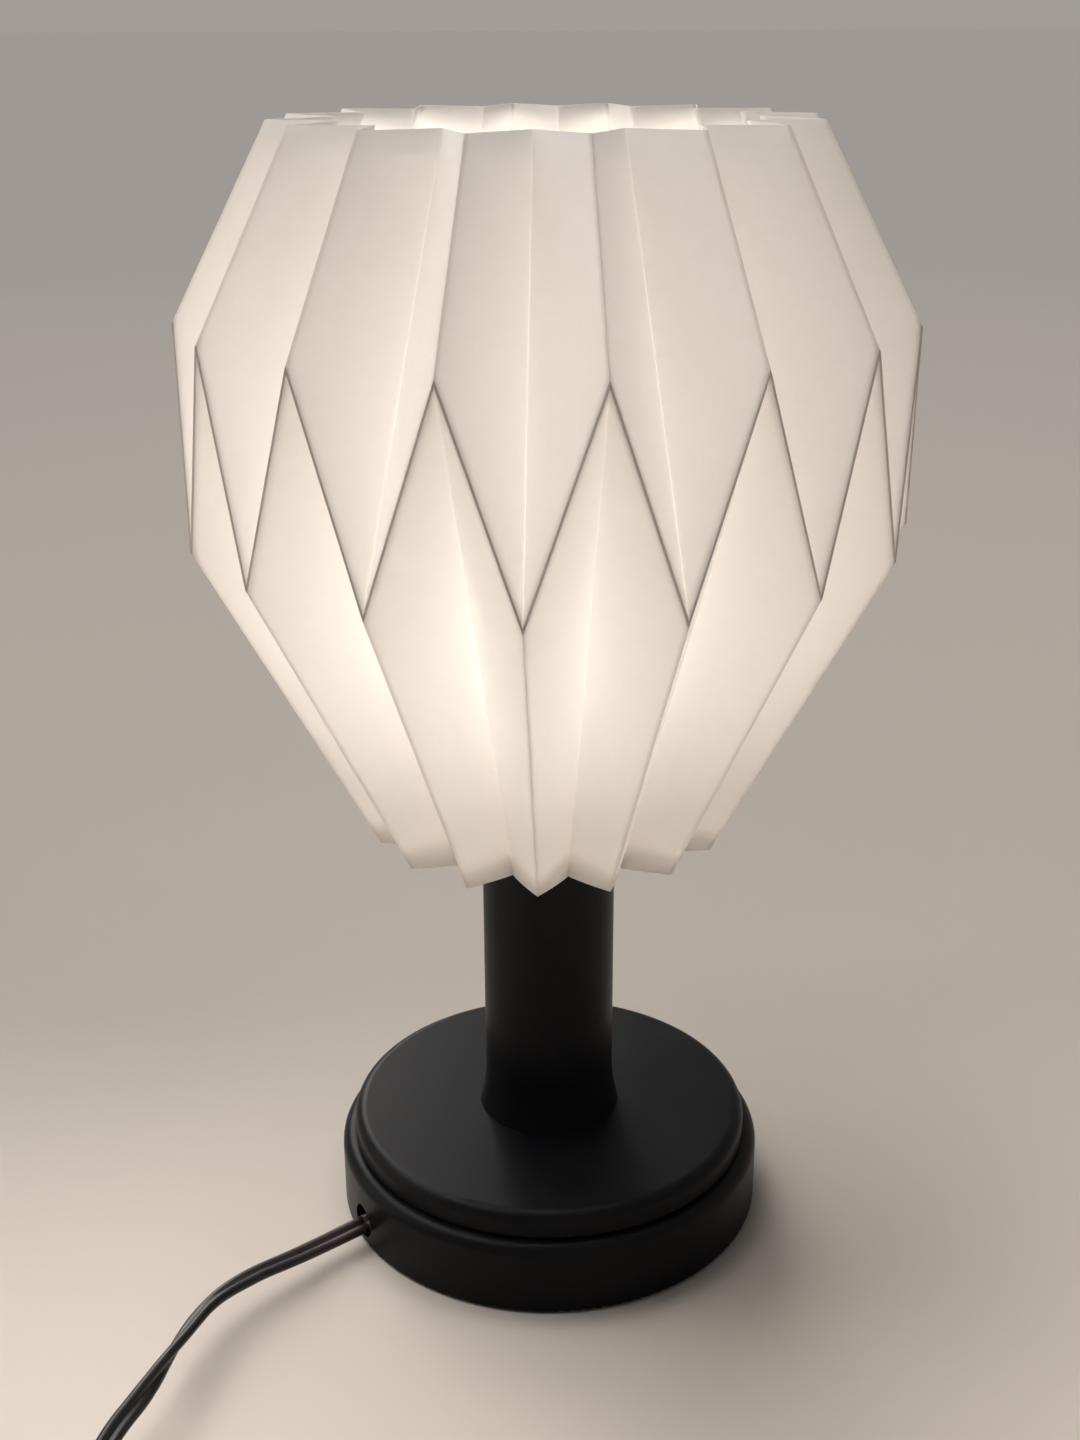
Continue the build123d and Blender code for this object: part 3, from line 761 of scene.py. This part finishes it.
@dataclass
class RolledThread:
    """A sheet-metal thread round the axis: the bulb's cap or the holder's threaded shell.

    Lengths are in millimetres. The thread runs between plain_low and plain_high, with plain tube past them.
    """

    name: str
    body: str
    node: str
    slot: str
    crest: float
    root: float
    low: float
    high: float
    wall: float
    plain_low: float
    plain_high: float
    pitch: float = 3.63
    steps: int = 64
    marks: int = 10
    weld: float = 0.02

    def radius(self, height: float) -> float:
        """Gives the thread's radius at a height, on the side where it starts."""
        wave = 0.5 + 0.5 * math.cos(math.tau * height / self.pitch)
        return self.root + (self.crest - self.root) * wave

    def build(self, material: Material) -> bpy.types.Object:
        """Builds the thread: a waved line is screwed round the axis and cut off level.

        Args:
            material: its finish.

        Returns:
            The threaded piece.
        """
        bm = bmesh.new()
        start, end = self.low - self.pitch, self.high + self.pitch
        count = round((end - start) / self.pitch * self.marks)
        heights = [start + (end - start) * i / count for i in range(count + 1)]
        verts = [bm.verts.new((self.radius(z) * MM, 0, z * MM)) for z in heights]
        edges = [bm.edges.new(pair) for pair in zip(verts, verts[1:])]
        bmesh.ops.spin(bm, geom=verts + edges, cent=(0, 0, 0), axis=(0, 0, 1), steps=self.steps,
                       dvec=(0, 0, self.pitch * MM / self.steps), angle=math.tau)
        bmesh.ops.remove_doubles(bm, verts=bm.verts, dist=self.weld * MM)
        for level, limit, side in ((self.plain_low, self.low, -1), (self.plain_high, self.high, 1)):
            bmesh.ops.bisect_plane(bm, geom=bm.verts[:] + bm.edges[:] + bm.faces[:], dist=1e-7,
                                   plane_co=(0, 0, level * MM), plane_no=(0, 0, side), clear_outer=True)
            cut = {v for v in bm.verts if abs(v.co.z - level * MM) < 1e-6}
            edge = [e for e in bm.edges if e.is_boundary and all(v in cut for v in e.verts)]
            grown = bmesh.ops.extrude_edge_only(bm, edges=edge)["geom"]
            for vert in (g for g in grown if isinstance(g, bmesh.types.BMVert)):
                flat = Vector((vert.co.x, vert.co.y, 0)).normalized() * self.crest * MM
                vert.co = Vector((flat.x, flat.y, limit * MM))
        bmesh.ops.recalc_face_normals(bm, faces=bm.faces)
        outward = sum(f.normal.dot(Vector((*f.calc_center_median().xy, 0))) for f in bm.faces)
        if outward < 0:
            bmesh.ops.reverse_faces(bm, faces=bm.faces)
        piece = piece_from(bm, self.name, material)
        wall = piece.modifiers.new("sheet", "SOLIDIFY")
        wall.thickness = self.wall * MM
        wall.offset = -1.0
        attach(piece, self.body)
        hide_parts(self.node)
        return piece


@dataclass
class TwinCord:
    """The flat twin cord: two round cores side by side, swept along a smooth line with a turn about it.

    The core's radius and half the thickness of the web between the cores are in millimetres.
    """

    material: Material
    core: float = 1.4
    web: float = 0.62
    sides: int = 9
    smoothness: int = 10

    def line(self, name: str, route: Iterable[Vector]) -> list[Vector]:
        """Reads the points of the smooth line that a route gives.

        Args:
            name: a name for the curve, which is removed again.
            route: the control points in metres.

        Returns:
            Points along the line.
        """
        curve = bpy.data.curves.new(name, "CURVE")
        curve.dimensions = "3D"
        curve.resolution_u = self.smoothness
        spline = curve.splines.new("NURBS")
        points = list(route)
        spline.points.add(len(points) - 1)
        for point, place in zip(spline.points, points):
            point.co = (*place, 1.0)
        spline.order_u = 3
        spline.use_endpoint_u = True
        holder = bpy.data.objects.new(name, curve)
        bpy.context.scene.collection.objects.link(holder)
        bpy.context.view_layer.update()
        mesh = bpy.data.meshes.new_from_object(holder.evaluated_get(bpy.context.evaluated_depsgraph_get()))
        line = [v.co.copy() for v in mesh.vertices]
        bpy.data.objects.remove(holder)
        bpy.data.curves.remove(curve)
        bpy.data.meshes.remove(mesh)
        return line

    def section(self) -> list[tuple[float, float]]:
        """Gives the cord's outline: two round cores and the web between them.

        Returns:
            The outline's points in millimetres.
        """
        waist = math.asin(self.web / self.core)
        half = []
        for i in range(self.sides + 1):
            angle = -(math.pi - waist) + 2 * (math.pi - waist) * i / self.sides
            half.append((self.core + self.core * math.cos(angle), self.core * math.sin(angle)))
        return half + [(-x, -y) for x, y in half]

    def sweep(self, name: str, line: Sequence[Vector], roll: Callable[[float], float],
              carried: bool = False) -> bpy.types.Object:
        """Sweeps the section along a line.

        Args:
            name: the piece's name.
            line: the points in metres.
            roll: gives the cord's turn in degrees at a length in millimetres. At 0 it lies flat.
            carried: whether the section is carried along the line instead of kept level.

        Returns:
            The cord's mesh.
        """
        bm = bmesh.new()
        lay = bm.loops.layers.uv.new("lay")
        outline = self.section()
        rings, gone, lengths, side = [], 0.0, [], None
        for i, here in enumerate(line):
            before, after = line[max(i - 1, 0)], line[min(i + 1, len(line) - 1)]
            heading = (after - before).normalized()
            if side is None or not carried:
                side = Vector((0, 0, 1)).cross(heading).normalized()
            side = (side - heading * side.dot(heading)).normalized()
            up = heading.cross(side)
            gone += (here - line[i - 1]).length if i else 0.0
            angle = math.radians(roll(gone / MM))
            wide = side * math.cos(angle) + up * math.sin(angle)
            thick = heading.cross(wide)
            rings.append([bm.verts.new(here + (wide * x + thick * y) * MM) for x, y in outline])
            lengths.append(gone)
        count = len(outline)
        for i, (first, second) in enumerate(zip(rings, rings[1:])):
            for k in range(count):
                face = bm.faces.new((first[k], first[(k + 1) % count], second[(k + 1) % count], second[k]))
                for loop, (u, v) in zip(face.loops, ((i, k), (i, k + 1), (i + 1, k + 1), (i + 1, k))):
                    loop[lay].uv = (lengths[u] * MAP_SCALE, v / count)
        bm.faces.new(rings[0])
        bm.faces.new(rings[-1])
        bmesh.ops.recalc_face_normals(bm, faces=bm.faces)
        return piece_from(bm, name, self.material)


@dataclass
class CordRun:
    """Where the cord runs: the same points as the frame's solids, in millimetres."""

    cord: float = 5.6
    hole_turn: float = -150.5
    foot_radius: float = 63.1
    exit_turn: float = -149.7
    exit_z: float = 6.8
    exit_heading: float = -140.0
    hole_depth: float = 20.0
    straight_out: float = 10.5
    bend_radius: float = 22.0
    pad_level: float = 5.2
    core_low: float = 126.0
    switch: tuple[float, float, float] = (-113.0, -181.0, 6.0)
    switch_length: float = 50.0
    coil: tuple[float, float] = (-71.0, -237.1)
    coil_outer: float = 42.0
    coil_pitch: float = 6.1
    coil_half_turns: int = 6
    coil_heart: float = 22.4
    coil_low: float = 4.0
    coil_high: float = 10.1
    plug: tuple[float, float, float] = (-26.5, -196.0, 7.0)
    marks: int = 9

    def exit(self) -> Vector:
        """Gives the point where the cord leaves the foot."""
        return along(self.exit_turn, self.foot_radius, self.exit_z)

    def inner(self) -> list[Vector]:
        """Gives the run inside the lamp, from the hole to the holder.

        Returns:
            The route's control points in metres.
        """
        return [self.exit(), self.exit() - along(self.exit_heading, self.hole_depth, 0),
                along(self.hole_turn, self.bend_radius, self.pad_level),
                along(0, 0, self.pad_level), along(0, 0, self.core_low)]

    def lead(self) -> list[Vector]:
        """Gives the run from the lamp to the switch.

        Returns:
            The route's control points in metres.
        """
        x, y, z = self.switch
        rest = [(-72.4, -48.9, 8.4), (-83.2, -59.1, 10.4), (-92.4, -71.6, 12.0), (-97.7, -88.1, 12.8),
                (-102.6, -106.9, 13.0), (-108.9, -121.4, 12.0), (-111.7, -133.0, 9.0),
                (x, -147.0, z), (x, y + self.switch_length / 2, z)]
        outside = self.exit() + along(self.exit_heading, self.straight_out, 0)
        return [self.exit(), outside] + [Vector(p) * MM for p in rest]

    def spare(self) -> list[Vector]:
        """Gives the run from the switch through the coil to the plug.

        Returns:
            The route's control points in metres.
        """
        x, y, z = self.switch
        cx, cy = self.coil
        left, right = cx - self.coil_outer, cx + self.coil_outer
        points = [(x, y - self.switch_length / 2, z), (x, -214.5, z), (x, -223.0, self.coil_low),
                  (left, cy + self.cord, self.coil_low)]
        # the coil winds inwards on the table, and outwards again on top of itself
        inward = [self.coil_outer - self.coil_pitch / 2 * i for i in range(self.coil_half_turns)]
        reach = inward + [self.coil_heart] * 2 + inward[::-1]
        # the line of a smooth spline runs inside its points, so they stand a little further out
        wider = 1 / math.cos(math.pi / 2 / self.marks) ** 2
        for i, (here, there) in enumerate(zip(reach, reach[1:])):
            side = -1 if i % 2 == 0 else 1
            low = self.coil_low if i <= self.coil_half_turns else self.coil_high
            high = self.coil_low if i < self.coil_half_turns else self.coil_high
            middle, radius = cx + side * (here - there) / 2, (here + there) / 2
            for k in range(self.marks):
                share = (k + 0.5) / self.marks
                angle = math.pi * share + (math.pi if side < 0 else 0.0)
                rise = low + (high - low) * (share * share * (3 - 2 * share))
                out = wider * radius
                points.append((middle + out * math.cos(angle), cy + out * math.sin(angle), rise))
        points += [(right, cy + self.cord, self.coil_high), (right, -220.5, self.coil_high),
                   (self.plug[0], -207.0, self.plug[2]), self.plug]
        return [Vector(p) * MM for p in points]


def eased(value: float, stops: Sequence[tuple[float, float]]) -> float:
    """Reads a value off a smooth line through stops.

    Args:
        value: where to read.
        stops: places with their values, in order.

    Returns:
        The value there.
    """
    if value <= stops[0][0]:
        return stops[0][1]
    for (x0, y0), (x1, y1) in zip(stops, stops[1:]):
        if value <= x1:
            share = (value - x0) / (x1 - x0)
            return y0 + (y1 - y0) * share * share * (3 - 2 * share)
    return stops[-1][1]


@dataclass
class Flex:
    """The lamp's whole cord: inside the lamp, out to the switch, and the spare length to the plug.

    The free lengths are in metres. A turn is in degrees, at a length in millimetres from the piece's start.
    """

    run: CordRun = field(default_factory=CordRun)
    lead_length: float = 0.1434
    spare_length: float = 1.378
    inner_turn: float = 20.0
    lead_turns: tuple[tuple[float, float], ...] = (
        (0.0, -20.0), (40.0, 0.0), (62.0, 30.0), (105.0, 150.0), (140.0, 180.0))
    coiled_turn: float = 90.0
    flat_end: float = 8.0
    turned_by: float = 60.0

    def build(self) -> list[bpy.types.Object]:
        """Returns:
            The three pieces.
        """
        twin = TwinCord(Jacket().build())
        inside = twin.sweep("cord_inside", twin.line("inner", self.run.inner()), lambda s: self.inner_turn,
                            carried=True)
        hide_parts("inner_cord")
        path = twin.line("lead", self.run.lead())
        lead = twin.sweep("cord_to_switch", path, lambda s: eased(s, self.lead_turns))
        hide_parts("cord_lead")
        far = twin.line("spare", self.run.spare())
        whole = sum((b - a).length for a, b in zip(far, far[1:])) / MM
        edge = [(self.flat_end, 0.0), (self.turned_by, self.coiled_turn),
                (whole - self.turned_by, self.coiled_turn), (whole - self.flat_end, 0.0)]
        spare = twin.sweep("cord_spare", far, lambda s: eased(s, edge))
        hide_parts("cord_link", "cord_coil", "cord_tail")
        for piece in (inside, lead, spare):
            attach(piece, "lamp")
        return [inside, lead, spare]


class Fittings:
    """Gives every piece that keeps its frame shape its own finish."""

    def finishes(self) -> dict[Material, list[str]]:
        """Pairs each finish with the pieces that have it.

        Returns:
            The names of the pieces by material.
        """
        return {
            TurnedBlack().build(): ["base_foot", "base_disc", "stem"],
            WorkedMetal(Metal.BRASS, "satin_brass").build(): [
                "holder_cap", "holder_shell", "terminal_screws", "holder_contact", "switch_contacts",
                "plug_blade_narrow", "plug_blade_wide"],
            WorkedMetal(Metal.ZINC, "zinc_plate").build(): [
                "base_screws", "lamp_pipe", "pipe_washer", "pipe_nut", "bulb_tip", "switch_screws"],
            WorkedMetal(Metal.BLACKED, "blacked_steel").build(): ["shade_carrier"],
            Moulded("black_moulding", (0.016, 0.015, 0.016)).build(): [
                "holder_core", "switch_base", "switch_cover", "switch_wheel", "plug_body"],
            Moulded("tie_rubber", (0.02, 0.02, 0.021), 0.6, 1200.0).build(): ["cord_tie"],
            Moulded("black_glaze", (0.012, 0.012, 0.016), 0.12, 300.0, 0.00002).build(): ["bulb_glaze"],
            # painted light: the bulb's plastic collar gives no light of its own but is given a glow
            Glow("collar_painted_glow", (0.86, 0.85, 0.82), strength=7.5, low=168.0, high=205.0,
                 at_low=0.9, at_high=1.0).build(): ["bulb_collar"],
            Moulded("board_mask", (0.84, 0.84, 0.80), 0.35, 500.0, 0.00002).build(): ["led_board"],
            Pressed("card_liner", (0.36, 0.27, 0.18), (0.46, 0.36, 0.25)).build(): ["holder_sleeve"],
            Pressed("ring_board", (0.84, 0.82, 0.78), (0.90, 0.88, 0.85), 900.0, 0.00006).build(): [
                "shade_ring"],
            Pressed("black_felt", (0.010, 0.010, 0.011), (0.028, 0.028, 0.030), 2200.0).build(): ["base_pad"],
            Moulded("cast_iron", (0.11, 0.105, 0.10), 0.7, 700.0, 0.0002).build(): ["base_weight"],
            Glow().build(): ["bulb_dome"],
        }

    def build(self) -> None:
        """Dresses the pieces."""
        for material, nodes in self.finishes().items():
            for name in nodes:
                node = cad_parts[name]
                node.data.materials.clear()
                node.data.materials.append(material)
                log.info("%s is finished in %s", name, material.name)


@dataclass(frozen=True)
class Softbox:
    """A wide and distant light that reaches the whole table evenly.

    The width is how wide it looks from the lamp in degrees, the strength the light that it gives a surface
    facing it in watts per square metre, and the place a point in its direction in metres.
    """

    name: str
    width: float
    strength: float
    place: tuple[float, float, float]
    colour: Colour = (1.0, 0.968, 0.932)
    aim: tuple[float, float, float] = (0.0, 0.0, 0.12)

    def build(self) -> None:
        """Hangs the light and points it at the lamp."""
        data = bpy.data.lights.new(self.name, "SUN")
        data.angle = math.radians(self.width)
        data.energy = self.strength
        data.color = self.colour
        light = bpy.data.objects.new(self.name, data)
        light.location = self.place
        light.rotation_euler = (Vector(self.aim) - Vector(self.place)).to_track_quat("-Z", "Y").to_euler()
        bpy.context.scene.collection.objects.link(light)


@dataclass
class Studio:
    """The table, the camera and the soft lights.

    The camera's place is in millimetres, its pitch, yaw and roll are in degrees, and its focal length is in
    pixels of a picture with the given long side.
    """

    distance: float = 463.26
    height: float = 337.99
    pitch: float = 21.69
    yaw: float = -0.28
    roll: float = -0.26
    focal_px: float = 1776.66
    long_side_px: int = 1440
    table_half: float = 40.0
    table_squares: int = 8
    room_light: Colour = (0.95, 0.97, 1.0)
    room_strength: float = 0.10
    room_seen: Colour = (0.36, 0.335, 0.315)
    softboxes: tuple[Softbox, ...] = (
        Softbox("overhead_softbox", 52, 2.15, (-0.8, 0.6, 2.4)),
        Softbox("left_softbox", 44, 0.35, (-1.5, 0.15, 0.7)),
        Softbox("back_softbox", 27, 0.9, (-0.55, 1.45, 1.0)),
    )

    def camera(self) -> None:
        """Sets the camera where the photograph was taken from."""
        pitch, yaw, roll = (math.radians(v) for v in (self.pitch, self.yaw, self.roll))
        ahead = Vector((math.sin(yaw) * math.cos(pitch), math.cos(yaw) * math.cos(pitch), -math.sin(pitch)))
        level = Vector((math.cos(yaw), -math.sin(yaw), 0))
        up = level.cross(ahead)
        right = level * math.cos(roll) + up * math.sin(roll)
        top = up * math.cos(roll) - level * math.sin(roll)
        data = bpy.data.cameras.new("camera")
        data.sensor_fit = "AUTO"
        data.sensor_width = 36.0
        data.lens = self.focal_px * data.sensor_width / self.long_side_px
        camera = bpy.data.objects.new("camera", data)
        turned = Matrix((right, top, -ahead)).transposed()
        camera.matrix_world = Matrix.Translation((0, -self.distance * MM, self.height * MM)) @ turned.to_4x4()
        bpy.context.scene.collection.objects.link(camera)
        bpy.context.scene.camera = camera

    def floor(self) -> None:
        """Lays the table top."""
        bm = bmesh.new()
        squares = self.table_squares
        bmesh.ops.create_grid(bm, x_segments=squares, y_segments=squares, size=self.table_half)
        table = piece_from(bm, "table", TableTop().build(), smooth=False)

    def room(self) -> None:
        """Gives the room's own light: weak on the lamp, pale where the camera or a gloss sees it."""
        world = bpy.data.worlds.new("room")
        world.use_nodes = True
        tree = world.node_tree
        seen = tree.nodes.new("ShaderNodeBackground")
        seen.inputs["Color"].default_value = (*self.room_seen, 1.0)
        lit = tree.nodes["Background"]
        lit.inputs["Color"].default_value = (*self.room_light, 1.0)
        lit.inputs["Strength"].default_value = self.room_strength
        path = tree.nodes.new("ShaderNodeLightPath")
        last = path.outputs["Is Camera Ray"]
        for ray in ("Is Glossy Ray", "Is Transmission Ray"):
            either = tree.nodes.new("ShaderNodeMath")
            either.operation = "MAXIMUM"
            tree.links.new(last, either.inputs[0])
            tree.links.new(path.outputs[ray], either.inputs[1])
            last = either.outputs[0]
        mix = tree.nodes.new("ShaderNodeMixShader")
        tree.links.new(last, mix.inputs[0])
        tree.links.new(lit.outputs[0], mix.inputs[1])
        tree.links.new(seen.outputs[0], mix.inputs[2])
        tree.links.new(mix.outputs[0], tree.nodes["World Output"].inputs["Surface"])
        bpy.context.scene.world = world

    def build(self) -> None:
        """Builds the studio."""
        self.camera()
        self.floor()
        for softbox in self.softboxes:
            softbox.build()
        self.room()
        bpy.context.scene.view_settings.view_transform = "Standard"


def main() -> None:
    """Builds the studio and the lamp's pieces."""
    Studio().build()
    for piece in Flex().build():
        log.info("built %s", piece.name)
    Fittings().build()
    shade = FoldedShade().build()
    log.info("built %s", shade.name)
    thread = WorkedMetal(Metal.THREAD, "rolled_thread").build()
    cap = RolledThread("bulb_thread", "bulb", "bulb_cap", "thread_metal", crest=13.0, root=12.45, low=146.4,
                       high=168.0, wall=0.3, plain_low=150.0, plain_high=163.0).build(thread)
    shell = RolledThread("holder_thread", "lamp", "thread_shell", "thread_metal", crest=13.9, root=13.55,
                         low=140.2, high=164.0, wall=0.15, plain_low=143.0, plain_high=162.5).build(thread)
    for piece in (cap, shell):
        log.info("built %s", piece.name)


if __name__ == "__main__":
    logging.basicConfig(level=logging.INFO)
    main()
